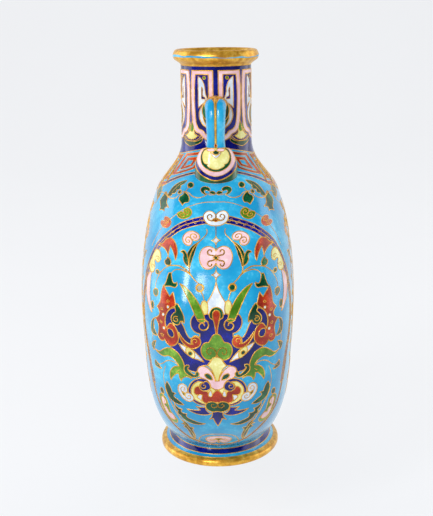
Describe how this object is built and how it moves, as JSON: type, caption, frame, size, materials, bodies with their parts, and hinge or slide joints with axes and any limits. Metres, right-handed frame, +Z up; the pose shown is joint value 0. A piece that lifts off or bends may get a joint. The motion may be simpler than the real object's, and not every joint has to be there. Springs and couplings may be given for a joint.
{
  "type": "flask vase",
  "caption": "Flattened round-bodied ceramic flask vase with oval flared foot, straight neck, rolled lip and two small strap handles, enamelled in outlined cells.",
  "frame": {"origin": "centre of the foot's resting face", "axes": "+Z up through the neck, +X through the thin way of the body, +Y along the broad way; the handles stand on the -Y and +Y narrow sides"},
  "size_m": [0.0966, 0.196, 0.26],
  "materials": {
    "turquoise_enamel": "glossy fired enamel",
    "cobalt_enamel": "glossy fired enamel",
    "dark_green_enamel": "glossy fired enamel",
    "moss_green_enamel": "glossy fired enamel",
    "red_enamel": "glossy fired enamel",
    "pink_enamel": "glossy fired enamel",
    "primrose_enamel": "glossy fired enamel",
    "white_enamel": "glossy fired enamel",
    "gilding": "burnished gilding",
    "bare_porcelain": "clear glaze over white body"
  },
  "bodies": {
    "root": {"body_foot_left": "turquoise_enamel", "body_foot_right": "turquoise_enamel", "body_lower_left": "turquoise_enamel", "body_lower_right": "turquoise_enamel", "body_middle_left": "turquoise_enamel", "body_middle_right": "turquoise_enamel", "body_upper_left": "turquoise_enamel", "body_upper_right": "turquoise_enamel", "body_shoulder_left": "turquoise_enamel", "body_shoulder_right": "turquoise_enamel", "body_collar_left": "turquoise_enamel", "body_collar_right": "turquoise_enamel", "base_plate": "bare_porcelain", "foot_skirt": "cobalt_enamel", "foot_rim": "gilding", "neck": "cobalt_enamel", "lip": "gilding", "handle_root_front": "gilding", "handle_strap_front": "turquoise_enamel", "handle_rib_front": "gilding", "handle_shield_front": "primrose_enamel", "handle_root_back": "gilding", "handle_strap_back": "turquoise_enamel", "handle_rib_back": "gilding", "handle_shield_back": "primrose_enamel"}
  },
  "joints": []
}
